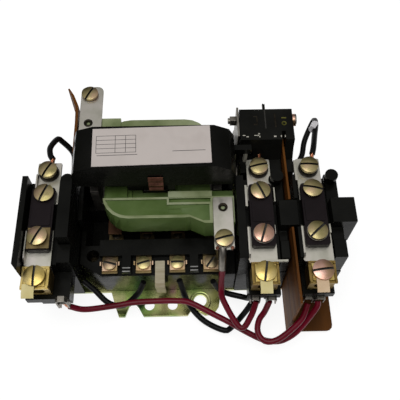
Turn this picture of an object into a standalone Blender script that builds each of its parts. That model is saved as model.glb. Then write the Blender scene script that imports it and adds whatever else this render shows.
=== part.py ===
"""Magnetic motor starter: a contactor, overload relays and an auxiliary contact on one steel plate.

The starter lies on its back. +X runs to the right, +Y to the line side (the top when it hangs on a
panel) and +Z out of the panel. The origin is the centre of the mounting plate's back face.
Dimensions are in millimetres and are turned into metres when a mesh or a curve is made.
"""
import math

import bmesh
import bpy
from mathutils import Matrix, Vector

MM = 0.001
GAP = 0.3                      # clearance between two pieces that touch

# ---- driving dimensions ----
PLATE_THICKNESS = 2.0
FLOOR_Z = PLATE_THICKNESS + GAP
STROKE = 5.0                   # travel of the armature carrier
RESET_TRAVEL = 3.0             # travel of an overload reset plunger
WIRE_DIAMETER = 3.0
SLOT_WIDTH = 1.1               # screwdriver slots
SLOT_DEPTH = 1.0

MAGNET_X = -1.7                # centre of magnet, coil and carrier
MAGNET_Y = 3.0
STACK = 18.0                   # thickness of the magnet's laminations
CORE_LEG = 4.2                 # width of an outer leg; the centre leg is wider
CENTRE_LEG = 12.0
CORE_HALF = 32.9               # half the width of the core
CORE_BACK_Z = (20.0, 27.7)
CORE_POLE_Z = 41.0
ARMATURE_POLE_Z = CORE_POLE_Z + STROKE + 0.4

POLE_PITCH = 16.7
POLE_X = [(i - 1.5) * POLE_PITCH for i in range(4)]
DECK_Z = 24.0                  # front face of the base's terminal blocks
COVER_Z = 27.6                 # front face of the covers over the contact strips
BASE_X = (-40.3, 37.1)
BASE_Y = (-44.5, 37.5)
CAVITY_X = (-38.1, 34.7)
CAVITY_Y = (-28.0, 26.0)
TERMINAL_Y = (-39.0, 32.0)     # load and line terminals

COIL_X = (-27.4, 26.0)
COIL_Y = (-23.6, 33.4)
COIL_Z = (30.7, 46.0)
RECESS_Z = 40.0                # floor of the band in the coil that the carrier dips into

CARRIER_Y = (-9.0, 13.7)
CARRIER_Z = (51.5, 69.0)

CHANNEL_Z = 44.0               # floor that the heater and its straps rest on
BAY_Z = 27.7                   # floor of the bay that holds the trip mechanism
LINE_SCREW_Y = 2.3
HEATER_SCREW_Y = (-34.4, -11.8)
LUG_SCREW_Y = -52.3

# Each relay: left edge, width, left wall, start of its trip bay, floor, trip block reach, wall height;
# then the centre of its line terminal, heater, load lug and tag, the load strap's two sides, and how
# far its two heater screws stand off the heater's centre line.
RELAYS = {
    "left": dict(edge=-65.0, width=24.3, wall=2.7, bay=-47.2, floor=FLOOR_Z,
                 raised=(-46.8, -41.0, -36.0, -4.0), wall_z=53.5, line=-54.4, heater=-55.3,
                 lug=-55.7, tag=-58.1, strap=(-61.7, -49.4), lean=0.5, rise=0.7),
    "centre": dict(edge=37.5, width=24.2, wall=3.8, bay=57.0, floor=FLOOR_Z,
                   raised=(57.3, 66.5, -30.7, -17.3), wall_z=50.5, line=49.6, heater=49.3,
                   lug=49.2, tag=49.1, strap=(41.9, 55.4), lean=0.0, rise=0.0),
    "right": dict(edge=65.2, width=23.4, wall=1.6, bay=81.9, floor=FLOOR_Z + 1.3,
                  raised=(82.3, 94.0, -29.5, -16.4), wall_z=50.5, line=74.6, heater=74.6,
                  lug=75.3, tag=74.6, strap=(67.2, 81.6), lean=0.1, rise=0.7),
}
HEATER_HALF = 5.6              # half the width of a heater

# ---- driving dimensions: screws, terminals and leads ----
LABEL_CORNERS = [(-29.3, -8.7), (25.6, -7.5), (25.2, 12.9), (-29.8, 11.8)]
# Where the base is screwed to the plate.
BASE_SCREWS = [(-34.0, -33.5), (30.6, -33.5), (-34.0, 31.0), (30.6, 31.0)]
TERMINAL_TURNS = (-14, 16, 0, 52)    # where each terminal screw's slot points, in degrees
UPPER_SCREW = (-36.6, 48.6)
UPPER_EYELET = (-36.6, 30.6)
LOWER_SCREW = (30.9, -36.0)
LOWER_EYELET = (31.0, -19.2)
# For each relay: where the slots of its line, upper heater, lower heater and lug screws point.
SCREW_TURNS = {"left": (62, 68, 64, 90), "centre": (12, -66, 72, 80), "right": (-4, -12, 42, 6)}
# For each relay: the centre and half width of its two control terminals.
CONTROL_TERMINALS = {"left": [(-45.6, 3.2), (-54.0, 3.0)], "centre": [(45.6, 3.3), (53.4, 3.0)],
                     "right": [(71.0, 2.2), (76.6, 2.6)]}
AUX_SEAM = 53.8                # where the halves of the auxiliary housing meet
AUX_PLUNGER = (43.4, 9.5)
AUX_BOLT = (29.0, 50.0)        # in Y and Z; it runs across the housing and its bracket
# The points that each lead runs through, from one terminal to the other.
RED_CONTROL_LEAD = [(-44.0, -59.2, 23.6), (-37.0, -59.5, 19.0), (-23.0, -57.0, 16.0), (-14.5, -55.5, 15.5),
                    (-5.5, -55.0, 15.5), (7.0, -55.0, 15.5), (14.5, -56.0, 15.0), (26.5, -62.0, 13.5),
                    (34.0, -66.0, 13.0), (41.0, -70.0, 12.0), (49.5, -74.0, 10.5), (55.5, -75.0, 10.0),
                    (60.5, -74.5, 11.5), (67.0, -71.0, 15.0), (75.0, -63.0, 24.0), (75.8, -60.0, 26.0)]
RED_COIL_LEAD = [(29.9, -46.9, 38.5), (29.9, -48.4, 34.5), (29.7, -52.0, 27.5), (30.5, -57.5, 23.0),
                 (38.5, -70.0, 18.0), (43.5, -65.5, 21.0), (46.3, -59.4, 26.2)]
RED_RELAY_JUMPER = [(52.6, -59.5, 26.0), (50.5, -63.0, 20.0), (48.0, -66.0, 17.5), (47.0, -70.5, 15.5),
                    (48.5, -74.5, 15.0), (52.0, -76.5, 15.5), (58.0, -75.0, 17.0), (67.5, -68.0, 22.0),
                    (70.9, -61.1, 26.0)]
BLACK_LOAD_LEAD = [(9.2, -46.6, 22.4), (13.5, -54.5, 9.5), (21.0, -62.5, 6.0), (31.0, -67.5, 5.0),
                   (35.0, -66.5, 6.5), (41.0, -62.0, 15.0), (44.5, -58.8, 22.0)]
BLACK_POLE_LEAD = [(25.9, -47.0, 21.0), (28.5, -48.5, 14.5), (32.5, -50.0, 11.5), (41.5, -52.5, 11.5),
                   (44.0, -54.0, 14.5), (45.2, -54.9, 20.2)]
BLACK_CONTROL_LEAD = [(-39.7, -43.2, 15.0), (-34.0, -47.5, 12.5), (-27.0, -53.5, 9.5), (-19.5, -54.5, 8.5),
                      (-12.0, -50.0, 13.0), (-8.6, -46.5, 20.2)]
BLACK_LEFT_LEAD = [(-52.8, 9.2, 47.4), (-54.5, 12.0, 47.0), (-55.5, 18.0, 45.0), (-53.5, 25.5, 41.0),
                   (-52.0, 26.5, 38.0), (-46.5, 22.5, 32.0), (-46.0, 15.5, 28.5), (-44.5, 10.0, 26.5),
                   (-41.2, 8.6, 26.2)]
BLACK_RIGHT_LEAD = [(77.0, 9.3, 48.2), (78.2, 13.5, 48.0), (80.4, 23.0, 45.0), (82.5, 32.0, 42.0),
                    (82.5, 36.5, 38.0), (77.5, 27.0, 34.0), (75.5, 19.0, 32.0), (72.5, 14.0, 31.5),
                    (69.4, 12.6, 31.4)]

# ---- colours: base colour, roughness, metallic ----
LOOKS = {
    "phenolic": ((0.018, 0.018, 0.017), 0.38, 0.0),
    "plated": ((0.66, 0.64, 0.58), 0.30, 1.0),
    "brass": ((0.78, 0.62, 0.30), 0.30, 1.0),
    "coil": ((0.20, 0.33, 0.12), 0.42, 0.0),
    "steel": ((0.20, 0.20, 0.20), 0.45, 1.0),
    "copper": ((0.75, 0.36, 0.18), 0.35, 1.0),
    "plate": ((0.60, 0.56, 0.28), 0.35, 1.0),
    "label": ((0.74, 0.68, 0.68), 0.45, 0.0),
    "bronze": ((0.45, 0.26, 0.18), 0.35, 1.0),
    "fibre": ((0.25, 0.12, 0.05), 0.6, 0.0),
    "heater": ((0.06, 0.035, 0.04), 0.4, 0.0),
    "red": ((0.25, 0.005, 0.03), 0.4, 0.0),
    "black_wire": ((0.015, 0.015, 0.015), 0.45, 0.0),
    "tag": ((0.80, 0.76, 0.52), 0.5, 0.0),
}


# ---- scene and materials ----
def clear_scene():
    for obj in list(bpy.data.objects):
        bpy.data.objects.remove(obj, do_unlink=True)


def material(look):
    found = bpy.data.materials.get(look)
    if found:
        return found
    colour, roughness, metallic = LOOKS[look]
    mat = bpy.data.materials.new(look)
    mat.use_nodes = True
    shader = mat.node_tree.nodes["Principled BSDF"]
    shader.inputs["Base Color"].default_value = (*colour, 1.0)
    shader.inputs["Roughness"].default_value = roughness
    shader.inputs["Metallic"].default_value = metallic
    mat.diffuse_color = (*colour, 1.0)
    return mat


# ---- solids, each a new bmesh in millimetres ----
def prism(outline, axis, low, high):
    """A closed solid: an outline drawn across an axis, extruded from low to high along it."""
    place = {"X": lambda u, v, w: (w, u, v),
             "Y": lambda u, v, w: (u, w, v),
             "Z": lambda u, v, w: (u, v, w)}[axis]
    bm = bmesh.new()
    bottom = [bm.verts.new(place(u, v, low)) for u, v in outline]
    top = [bm.verts.new(place(u, v, high)) for u, v in outline]
    bm.faces.new(bottom)
    bm.faces.new(list(reversed(top)))
    count = len(outline)
    for i in range(count):
        j = (i + 1) % count
        bm.faces.new((bottom[i], top[i], top[j], bottom[j]))
    bmesh.ops.recalc_face_normals(bm, faces=bm.faces)
    return bm


def box(x, y, z):
    return prism([(x[0], y[0]), (x[1], y[0]), (x[1], y[1]), (x[0], y[1])], "Z", z[0], z[1])


def circle(u, v, radius, sides, start=0.0, sweep=2 * math.pi):
    steps = sides if sweep >= 2 * math.pi else sides - 1
    return [(u + radius * math.cos(start + sweep * i / steps),
             v + radius * math.sin(start + sweep * i / steps))
            for i in range(sides)]


def cylinder(u, v, radius, low, high, axis="Z", sides=16):
    return prism(circle(u, v, radius, sides), axis, low, high)


def merge(bm, other):
    """Move another bmesh's solids into this one, leaving them separate bodies."""
    known = {v: bm.verts.new(v.co) for v in other.verts}
    for face in other.faces:
        bm.faces.new([known[v] for v in face.verts])
    other.free()
    return bm


def group(solids):
    first = solids[0]
    for other in solids[1:]:
        merge(first, other)
    return first


def rounded(x, y, radius, steps=4, corners=(True, True, True, True)):
    """A rectangle with round corners, from the lower left corner anticlockwise."""
    centres = [(x[0] + radius, y[0] + radius, math.pi), (x[1] - radius, y[0] + radius, 1.5 * math.pi),
               (x[1] - radius, y[1] - radius, 0.0), (x[0] + radius, y[1] - radius, 0.5 * math.pi)]
    square = [(x[0], y[0]), (x[1], y[0]), (x[1], y[1]), (x[0], y[1])]
    points = []
    for (cx, cy, start), corner, is_round in zip(centres, square, corners):
        if is_round:
            points += circle(cx, cy, radius, steps + 1, start, math.pi / 2)
        else:
            points.append(corner)
    return points


def spring(x, y, radius, wire, low, high, turns, around=10, section=6):
    """A coil spring on a Z axis: a closed round wire swept along a helix."""
    bm = bmesh.new()
    rings = []
    steps = int(turns * around)
    rise = (high - low - wire) / steps
    for i in range(steps + 1):
        angle = 2 * math.pi * i / around
        centre = Vector((x + radius * math.cos(angle), y + radius * math.sin(angle),
                         low + wire / 2 + rise * i))
        outward = Vector((math.cos(angle), math.sin(angle), 0))
        ring = []
        for k in range(section):
            turn = 2 * math.pi * k / section
            offset = outward * math.cos(turn) + Vector((0, 0, 1)) * math.sin(turn)
            ring.append(bm.verts.new(centre + offset * wire / 2))
        rings.append(ring)
    for a, b in zip(rings, rings[1:]):
        for k in range(section):
            n = (k + 1) % section
            bm.faces.new((a[k], a[n], b[n], b[k]))
    bm.faces.new(rings[0])
    bm.faces.new(rings[-1])
    bmesh.ops.recalc_face_normals(bm, faces=bm.faces)
    return bm


# ---- objects ----
def mesh_from(bm, name):
    bmesh.ops.scale(bm, vec=(MM, MM, MM), verts=bm.verts)
    mesh = bpy.data.meshes.new(name)
    bm.to_mesh(mesh)
    bm.free()
    return mesh


def combine(obj, solid, operation):
    """Join a solid to an object's mesh, or cut it out, with an exact Boolean that is then applied."""
    tool = bpy.data.objects.new("tool", mesh_from(solid, "tool"))
    bpy.context.collection.objects.link(tool)
    boolean = obj.modifiers.new("boolean", "BOOLEAN")
    boolean.operation = operation
    boolean.solver = "EXACT"
    boolean.object = tool
    bpy.context.view_layer.update()
    evaluated = obj.evaluated_get(bpy.context.evaluated_depsgraph_get())
    result = bpy.data.meshes.new_from_object(evaluated)
    obj.modifiers.clear()
    obj.data = result
    bpy.data.objects.remove(tool, do_unlink=True)


def node(name, look, body, add=(), cut=(), add_last=()):
    """One named piece: a body with solids added, others cut out, and the last ones added."""
    obj = bpy.data.objects.new(name, mesh_from(body, name))
    bpy.context.collection.objects.link(obj)
    for solid in add:
        combine(obj, solid, "UNION")
    for solid in cut:
        combine(obj, solid, "DIFFERENCE")
    for solid in add_last:
        combine(obj, solid, "UNION")
    obj.data.name = name
    obj.data.materials.clear()
    obj.data.materials.append(material(look))
    obj.data.shade_smooth()
    obj.data.set_sharp_from_angle(angle=math.radians(35))
    return obj


def hang_on(axis_name, position, pieces):
    """Parent pieces that move together to an empty on their joint's axis."""
    axis = bpy.data.objects.new(axis_name, None)
    axis.location = [c * MM for c in position]
    bpy.context.collection.objects.link(axis)
    for piece in pieces:
        piece.parent = axis
        piece.matrix_parent_inverse = Matrix.Translation(-Vector(axis.location))


def slotted(x, y, seat, radius, height, angle, shank, reach):
    """A round-headed screw: its two solids, and the cutter for the slot in its head."""
    top = cylinder(x, y, radius, seat - 0.2, seat + height, sides=18)
    stem = cylinder(x, y, shank, seat - reach, seat + height / 2, sides=10)
    groove = box((-radius * 1.2, radius * 1.2), (-SLOT_WIDTH / 2, SLOT_WIDTH / 2),
                 (seat + height - SLOT_DEPTH, seat + height + 1.0))
    turn = Matrix.Translation((x, y, 0)) @ Matrix.Rotation(math.radians(angle), 4, "Z")
    bmesh.ops.transform(groove, matrix=turn, verts=groove.verts)
    return [top, stem], groove


def smooth_route(points, spacing):
    """Points at even spacing on a smooth curve through a route's own points."""
    route = [Vector(p) for p in points]
    route = [2 * route[0] - route[1]] + route + [2 * route[-1] - route[-2]]
    dense = []
    for a, b, c, d in zip(route, route[1:], route[2:], route[3:]):
        for i in range(12):
            t = i / 12
            dense.append(0.5 * (2 * b + (c - a) * t + (2 * a - 5 * b + 4 * c - d) * t ** 2
                                + (3 * b - a - 3 * c + d) * t ** 3))
    dense.append(route[-2])
    lengths = [0.0]
    for a, b in zip(dense, dense[1:]):
        lengths.append(lengths[-1] + (b - a).length)
    count = max(2, round(lengths[-1] / spacing))
    result = []
    k = 0
    for i in range(count + 1):
        target = lengths[-1] * i / count
        while k < len(dense) - 2 and lengths[k + 1] < target:
            k += 1
        share = (target - lengths[k]) / (lengths[k + 1] - lengths[k])
        result.append(dense[k].lerp(dense[k + 1], share))
    return result


def wire(name, look, route, diameter=WIRE_DIAMETER, spacing=6.5):
    curve = bpy.data.curves.new(name, "CURVE")
    curve.dimensions = "3D"
    curve.bevel_depth = diameter / 2 * MM
    curve.bevel_resolution = 2
    curve.render_resolution_u = 0
    curve.use_fill_caps = True
    points = smooth_route(route, spacing)
    spline = curve.splines.new("POLY")
    spline.points.add(len(points) - 1)
    for target, point in zip(spline.points, points):
        target.co = (*(point * MM), 1.0)
    curve.materials.append(material(look))
    bpy.context.collection.objects.link(bpy.data.objects.new(name, curve))


# ---- plate and base ----
def make_mounting_plate():
    outline = [(-64.0, -45.0), (-27.0, -45.0), (-24.6, -53.0), (-22.6, -58.5), (-19.4, -58.5), (-17.4, -53.0),
               (-15.0, -51.0), (-12.6, -53.5), (-9.8, -58.5), (13.0, -58.5), (15.4, -55.0)]
    outline += circle(22.6, -51.3, 7.2, 5, math.radians(-95), math.radians(95))
    outline += [(29.8, -45.0), (88.0, -45.0), (88.0, 6.0), (66.0, 8.0), (66.0, 40.0), (37.0, 40.0),
                (37.0, 46.0), (14.0, 46.0), (10.0, 55.0), (-13.0, 55.0), (-17.0, 46.0), (-39.0, 46.0),
                (-39.0, -1.0), (-64.0, -1.0)]
    low, high = -2.0, PLATE_THICKNESS + 2.0
    holes = [cylinder(19.6, -50.6, 3.4, low, high), cylinder(-6.8, -52.8, 2.6, low, high),
             cylinder(5.2, -52.8, 2.6, low, high), cylinder(-1.5, 50.4, 2.6, low, high)]
    holes += [cylinder(x, y, 1.9, low, high, sides=12) for x, y in BASE_SCREWS]
    return node("mounting_plate", "plate", prism(outline, "Z", 0.0, PLATE_THICKNESS), cut=[group(holes)])


def make_moulded_base():
    outline = [(-29.0, BASE_Y[0]), (BASE_X[1], BASE_Y[0]), (BASE_X[1], BASE_Y[1]), (BASE_X[0], BASE_Y[1]),
               (BASE_X[0], -37.5)]
    flanks = [box((BASE_X[0], CAVITY_X[0]), (-20.0, 20.0), (DECK_Z - 3, 38.0)),
              box((CAVITY_X[1], BASE_X[1]), (-4.0, 20.0), (DECK_Z - 3, 38.0))]
    cavity = box(CAVITY_X, CAVITY_Y, (5.0, DECK_Z + 0.2))
    covers = [strip_cover(-35.0, -26.4), strip_cover(24.4, 27.5)]
    ridges = [box((x - 2.2, x + 2.2), (-44.0, -34.0), (DECK_Z - 1, COVER_Z))
              for x in (-POLE_PITCH, POLE_PITCH)]
    wells = [cylinder(x, y, 3.2, 6.0, DECK_Z + 5) for x, y in BASE_SCREWS]
    bores = [cylinder(x, y, 1.9, 0.0, 8.0, sides=12) for x, y in BASE_SCREWS]
    posts = [box(x, (y, y + 2.6), (4.0, CORE_BACK_Z[0] - GAP))
             for y in (MAGNET_Y - STACK / 2, MAGNET_Y + STACK / 2 - 2.6)
             for x in ((CAVITY_X[0] - 1, POLE_X[0] - 5.2), (POLE_X[3] + 5.2, CAVITY_X[1] + 1))]
    node("moulded_base", "phenolic", prism(outline, "Z", FLOOR_Z, DECK_Z),
         add=[group(flanks)] + covers + ridges, cut=[cavity, group(wells), group(bores)],
         add_last=[group(posts)])


def strip_cover(low, high):
    """A cover over the contact strips, with a channel for each of the four."""
    edge = POLE_X[3] + 5.2
    outline = [(-edge, COVER_Z), (-edge, DECK_Z - 1)]
    for x in POLE_X:
        outline += [(x - 4.3, DECK_Z - 1), (x - 4.3, DECK_Z + 1.6),
                    (x + 4.3, DECK_Z + 1.6), (x + 4.3, DECK_Z - 1)]
    outline += [(edge, DECK_Z - 1), (edge, COVER_Z)]
    return prism(outline, "Y", low, high)


def make_base_terminals():
    """Each pole has a load and a line terminal: a contact strip, a saddle clamp and its screw."""
    for i, x in enumerate(POLE_X):
        for side, y, wall in ((-1, TERMINAL_Y[0], CAVITY_Y[0]), (1, TERMINAL_Y[1], CAVITY_Y[1])):
            name = "load" if side < 0 else "line"
            screw, groove = slotted(x, y, DECK_Z + 3.0, 3.3, 2.0, TERMINAL_TURNS[i], 1.6, 1.8)
            node(f"{name}_terminal_{i + 1}", "brass", contact_strip(x, side, y, wall),
                 add=[saddle(x, y)] + screw, cut=[groove])
    clip = [(-37.6, 25.2), (-48.4, 25.2), (-49.4, 24.2), (-46.6, 6.0), (-47.6, 5.8), (-50.6, 24.4),
            (-49.0, 26.2), (-37.6, 26.2)]
    node("base_retaining_clip", "plated", prism(clip, "X", -2.6, 2.2))


def contact_strip(x, side, terminal, wall):
    """A fixed contact: a pad in the cavity, a riser up its wall and a tail on the terminal block."""
    edge = wall - side * GAP
    tip = terminal + side * 4.6
    contact = MAGNET_Y + side * 17.6
    t = 1.0
    low, high = 5.0 + GAP, DECK_Z + GAP
    outline = [(contact - side * 3.4, low), (edge, low), (edge, high), (tip, high), (tip, high + t),
               (edge - side * t, high + t), (edge - side * t, low + t), (contact + side * 2.0, low + t),
               (contact + side * 2.0, low + 1.7), (contact - side * 2.0, low + 1.7),
               (contact - side * 2.0, low + t), (contact - side * 3.4, low + t)]
    return prism(outline, "X", x - 4.0, x + 4.0)


def saddle(x, y):
    low = DECK_Z + 1.2
    outline = [(x - 4.9, low + 1.6), (x - 4.1, low), (x + 4.1, low), (x + 4.9, low + 1.6),
               (x + 4.0, low + 1.6), (x + 3.4, low + 1.0), (x - 3.4, low + 1.0), (x - 4.0, low + 1.6)]
    return prism(outline, "Y", y - 3.6, y + 3.6)


# ---- magnet, coil and the moving system ----
def magnet_outline(back, pole):
    """The E of the magnet in X and Z, its back and its three pole faces at the given heights."""
    x, half, leg, centre = MAGNET_X, CORE_HALF, CORE_LEG, CENTRE_LEG / 2
    inner = back[1] if pole > back[1] else back[0]
    outer = back[0] if pole > back[1] else back[1]
    return [(x - half, outer), (x + half, outer), (x + half, pole), (x + half - leg, pole),
            (x + half - leg, inner), (x + centre, inner), (x + centre, pole), (x - centre, pole),
            (x - centre, inner), (x - half + leg, inner), (x - half + leg, pole), (x - half, pole)]


def make_magnet():
    span = (MAGNET_Y - STACK / 2, MAGNET_Y + STACK / 2)
    node("magnet_core", "steel", prism(magnet_outline(CORE_BACK_Z, CORE_POLE_Z), "Y", *span))
    return node("armature", "steel", prism(magnet_outline((56.0, 64.0), ARMATURE_POLE_Z), "Y", *span))


def make_coil():
    body = prism(rounded(COIL_X, COIL_Y, 12.8, steps=5), "Z", *COIL_Z)
    foot = [(13.0, -20.0), (15.5, -23.5), (22.2, -26.7), (36.6, -26.7), (36.6, -6.3), (20.0, -6.3)]
    ears = [prism(foot, "Z", *COIL_Z), box((-41.0, -20.0), (21.0, 34.2), (COIL_Z[0] + 0.4, COIL_Z[1] + 0.7))]
    recess = box((-60.0, 60.0), (-12.4, 17.0), (RECESS_Z, 60.0))
    half = CENTRE_LEG / 2 + 0.7
    window = box((MAGNET_X - half, MAGNET_X + half), (MAGNET_Y - STACK / 2 - 0.7, MAGNET_Y + STACK / 2 + 0.7),
                 (20.0, 60.0))
    side = box((25.4, 60.0), (-6.3, 17.0), (20.0, 60.0))
    lip = box((4.6, 26.0), (-12.8, -9.5), (RECESS_Z + 2, COIL_Z[1] + 0.3))
    node("coil", "coil", body, add=ears, cut=[recess, window, side], add_last=[lip])


def make_coil_terminals():
    """Each coil terminal is a plated strip riveted to the coil, with a screw for its lead."""
    z = COIL_Z[1] + 0.7 + GAP
    screw, groove = slotted(*UPPER_SCREW, z + 1.2, 4.3, 2.1, 62, 1.7, 4.0)
    rivet = cylinder(*UPPER_EYELET, 2.2, z + 0.5, z + 1.6, sides=14)
    bore = cylinder(*UPPER_EYELET, 1.0, z - 1.0, z + 3.0, sides=12)
    node("coil_terminal_upper", "plated", box((-41.4, -29.7), (26.0, 54.0), (z, z + 1.0)),
         add=screw + [rivet], cut=[groove, bore])
    z = COIL_Z[1] + GAP
    screw, groove = slotted(*LOWER_SCREW, z + 1.9, 4.3, 2.1, 14, 1.7, 1.9)
    rivet = cylinder(*LOWER_EYELET, 2.2, z + 0.5, z + 1.6, sides=14)
    bore = cylinder(*LOWER_EYELET, 1.0, z - 1.0, z + 3.0, sides=12)
    ring = cylinder(*LOWER_SCREW, 3.9, z + 0.8, z + 1.8, sides=18)
    tongue = box((28.6, 31.6), (-41.0, -37.0), (z + 0.9, z + 1.8))
    barrel = [(-40.0, z + 1.0), (-40.0, z + 1.9), (-42.2, z + 1.6), (-48.2, z - 4.0), (-48.2, z - 7.2),
              (-45.2, z - 7.2), (-41.6, z - 1.6)]
    node("coil_terminal_lower", "plated", box((26.2, 35.8), (-41.0, -13.6), (z, z + 1.0)),
         add=screw + [rivet, ring, tongue, prism(barrel, "X", 28.3, 31.7)], cut=[groove, bore])


def make_carrier():
    front = [(-40.0, CARRIER_Z[0]), (-40.0, 61.0), (-38.2, 66.0), (-30.2, CARRIER_Z[1]), (27.2, CARRIER_Z[1]),
             (34.6, 65.2), (37.1, 60.0), (37.1, CARRIER_Z[0])]
    arm = box((33.0, 46.0), (8.0, 11.0), (CARRIER_Z[0], CARRIER_Z[0] + 4.0))
    tongue = box((-14.7, 8.1), (CARRIER_Y[0], CARRIER_Y[0] + 2.4), (46.9, 55.0))
    pocket = box((MAGNET_X - CORE_HALF - GAP, MAGNET_X + CORE_HALF + GAP),
                 (MAGNET_Y - STACK / 2 - GAP, MAGNET_Y + STACK / 2 + GAP), (40.0, 64.0 + GAP))
    carrier = node("armature_carrier", "phenolic", prism(front, "Y", *CARRIER_Y), add=[arm, tongue],
                   cut=[pocket])
    label = prism(LABEL_CORNERS, "Z", CARRIER_Z[1] + GAP, CARRIER_Z[1] + GAP + 0.5)
    plate = node("rating_plate", "label", label)
    y = CARRIER_Y[0] - GAP
    ridges = [(y, 47.6), (y, 60.4), (y - 0.5, 60.4)]
    for i in range(3):
        z = 60.4 - 4.2 * i
        ridges += [(y - 0.5, z - 0.8), (y - 1.4, z - 1.6), (y - 1.4, z - 2.6), (y - 0.5, z - 3.4)]
    ridges += [(y - 0.5, 47.6)]
    clip = node("armature_clip", "bronze", prism(ridges, "X", -4.4, 2.8))
    links = [box((x, x + 2.4), (MAGNET_Y - 3.0, MAGNET_Y + 3.0), (12.0, CARRIER_Z[0] - GAP))
             for x in (-37.6, 31.8)]
    bar = box((-37.6, 34.2), (MAGNET_Y - 5.8, MAGNET_Y + 5.8), (11.0, 17.0))
    tunnels = [box((x - 4.4, x + 4.4), (MAGNET_Y - 9, MAGNET_Y + 9), (12.0, 16.0)) for x in POLE_X]
    crossbar = node("contact_crossbar", "phenolic", bar, add=[group(links)], cut=[group(tunnels)])
    bridges = []
    low, high = 12.0 + GAP, 13.0 + GAP
    a, b = MAGNET_Y - 19.6, MAGNET_Y + 19.6
    outline = [(a, high), (a, low - 0.3), (a + 4.0, low - 0.3), (a + 4.0, low), (b - 4.0, low),
               (b - 4.0, low - 0.3), (b, low - 0.3), (b, high)]
    for i, x in enumerate(POLE_X):
        bridges.append(node(f"contact_bridge_{i + 1}", "copper", prism(outline, "X", x - 3.6, x + 3.6)))
    return [carrier, plate, clip, crossbar] + bridges


def make_return_springs():
    for side, x in (("left", MAGNET_X - 17.6), ("right", MAGNET_X + 17.3)):
        coil = spring(x, MAGNET_Y, 4.0, 0.9, RECESS_Z + GAP, 56.0 - GAP, 5)
        node(f"return_spring_{side}", "steel", coil)


# ---- overload relays ----
def make_relay(side, spec):
    edge, right = spec["edge"], spec["edge"] + spec["width"]
    x, bay = spec["heater"], spec["bay"]
    screws = heater_screws(spec)
    low = spec["floor"]
    wall_edge = edge + spec["wall"]
    body = box((edge, bay), (-45.6, -2.5), (low, CHANNEL_Z))
    wall = [(edge, -46.9), (wall_edge, -46.9), (wall_edge, -3.5), (edge, -3.5)]
    if side == "left":
        wall = [(edge, -48.5), (wall_edge, -52.0), (wall_edge, -3.5), (edge, -3.5)]
    ledge_end = -41.8 if side == "left" else x + 8.0
    parts = [box((bay - 2.0, right), (-45.6, 0.2), (low, BAY_Z)),
             prism(wall, "Z", 30.0, spec["wall_z"]),
             box((x - 7.1, bay), (-59.0, -44.0), (29.6, 34.2)),
             box((bay - 1.0, ledge_end), (-59.0, -45.5), (29.6, 34.2))]
    parts += [box((centre - half, centre + half), (-57.2, -45.5), (22.0, 29.8))
              for centre, half in CONTROL_TERMINALS[side]]
    cuts = [group([cylinder(u, v, 2.2, 36.0, 60.0, sides=12) for u, v in screws])]
    if side == "right":
        cuts.append(box((edge - 1, wall_edge), (-31.6, -16.6), (45.6, 60.0)))
    if side == "centre":
        cuts.append(cylinder(*reset_centre(spec), 2.4, 34.0, 60.0, sides=12))
    node(f"overload_body_{side}", "phenolic", body, add=parts, cut=cuts)
    turns = SCREW_TURNS[side]

    line_x = spec["line"]
    tab = box((line_x - 5.9, line_x + 5.9), (-15.0, 8.3), (CHANNEL_Z + GAP, CHANNEL_Z + GAP + 1.2))
    boss = cylinder(line_x, LINE_SCREW_Y, 3.4, CHANNEL_Z + 1.0, CHANNEL_Z + 4.6, sides=14)
    screw, groove = slotted(line_x, LINE_SCREW_Y, CHANNEL_Z + 4.4, 4.5, 2.6, turns[0], 1.7, 4.0)
    hole = cylinder(*screws[1], 2.2, 40, 50, sides=12)
    relief = cylinder(*reset_centre(spec), 3.7, 40, 50, sides=16)
    node(f"line_tab_{side}", "plated", tab, add=[boss] + screw, cut=[groove, hole, relief])

    strap_z = CHANNEL_Z + GAP
    strap = [(-29.0, strap_z), (-29.0, strap_z + 1.2), (-46.9, strap_z + 1.2), (-46.9, 36.0), (-45.9, 36.0),
             (-45.9, strap_z)]
    start, end = spec["strap"]
    lip = box((start, start + 0.5), (-45.9, -29.0), (strap_z, strap_z + 4.4))
    foot = box((x, end + (4.9 if side == "centre" else 0.0)), (-46.9, -46.0), (strap_z, strap_z + 1.2))
    node(f"load_strap_{side}", "plated", prism(strap, "X", start, end), add=[lip, foot],
         cut=[cylinder(*screws[0], 2.2, 40, 50, sides=12)])

    heater = prism(rounded((x - HEATER_HALF, x + HEATER_HALF), (-40.4, -7.6), 1.5, steps=3), "Z",
                   strap_z + 1.5, strap_z + 5.0)
    top, top_groove = slotted(*screws[1], strap_z + 5.0, 4.7, 2.1, turns[1], 1.8, 9.0)
    bottom, bottom_groove = slotted(*screws[0], strap_z + 5.0, 4.7, 2.1, turns[2], 1.8, 9.0)
    node(f"heater_{side}", "heater", heater, add=top + bottom, cut=[top_groove, bottom_groove])

    lug_x, tag_x = spec["lug"], spec["tag"]
    lug = box((lug_x - 6.3, lug_x + 6.3), (-58.2, -47.2), (34.5, 46.5))
    tag = box((tag_x - 2.8, tag_x + 2.8), (-62.6, -55.0), (46.3, 47.2))
    screw, groove = slotted(lug_x, LUG_SCREW_Y, 47.2, 4.9, 2.2, turns[3], 1.8, 3.0)
    washer = cylinder(lug_x, LUG_SCREW_Y, 4.2, 46.2, 47.4, sides=14)
    bore = cylinder(lug_x, 39.6, 3.3, -65.0, -40.0, axis="Y")
    node(f"load_lug_{side}", "brass", lug, add=[tag, washer] + screw, cut=[groove, bore])
    make_trip_block(side, spec, bay, right)


def heater_screws(spec):
    """The centres of a relay's lower and upper heater screws."""
    x, rise, lean = spec["heater"], spec["rise"], spec["lean"]
    return ((x - lean, HEATER_SCREW_Y[0] + rise), (x + lean, HEATER_SCREW_Y[1] + rise))


def reset_centre(spec):
    return (spec["edge"] + spec["width"] - 3.7, -3.6)


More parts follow.
